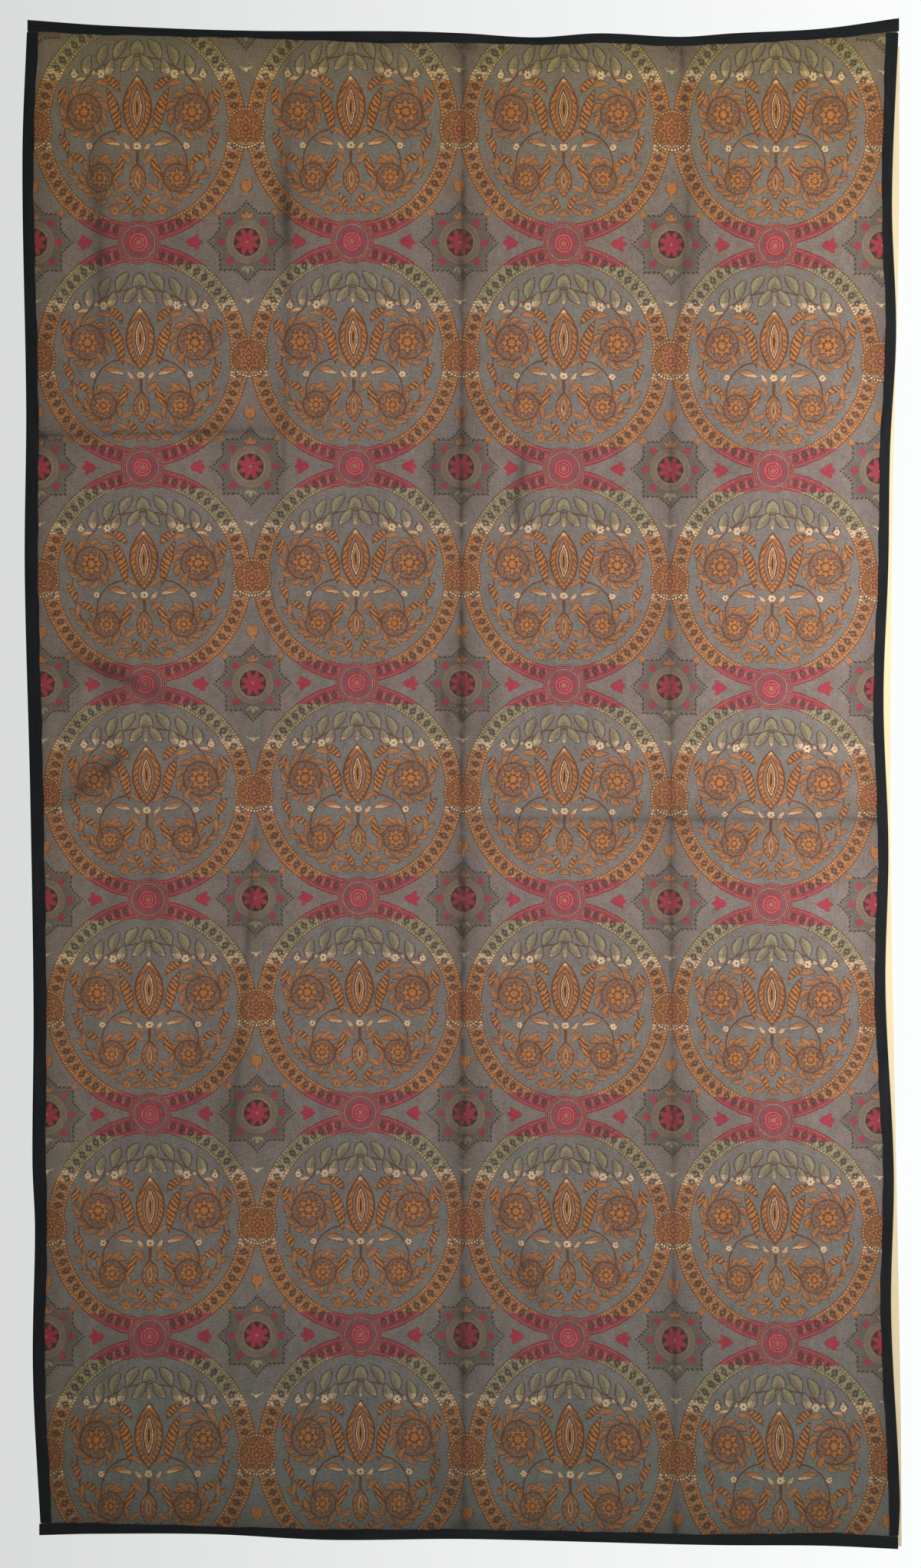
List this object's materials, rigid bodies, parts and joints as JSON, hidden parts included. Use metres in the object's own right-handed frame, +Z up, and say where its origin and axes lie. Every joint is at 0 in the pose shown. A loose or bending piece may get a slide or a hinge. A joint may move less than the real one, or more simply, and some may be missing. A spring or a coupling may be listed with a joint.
{
  "type": "woven wall hanging panel",
  "caption": "Flat figured woven hanging with a repeating roundel lattice, dark taped edges and a cream lining behind, shown as it hangs from its top edge.",
  "frame": {"origin": "the middle of the top edge, halfway through the cloth's thickness, where the hanging is held", "axes": "+X to the right as the viewer sees it, +Z up, the figured face looks along -Y"},
  "size_m": [1.3508, 0.0119, 2.3518],
  "materials": {
    "figured_cloth": "slate and taupe silk ground figured in orange, brown, red, olive and cream wefts",
    "binding_tape": "matt navy-black cotton tape",
    "lining_cloth": "plain cream cotton, matt"
  },
  "bodies": {
    "root": {"cloth": "figured_cloth", "lining": "lining_cloth", "binding_top": "binding_tape", "binding_bottom": "binding_tape", "binding_left": "binding_tape", "binding_right": "binding_tape"}
  },
  "joints": []
}
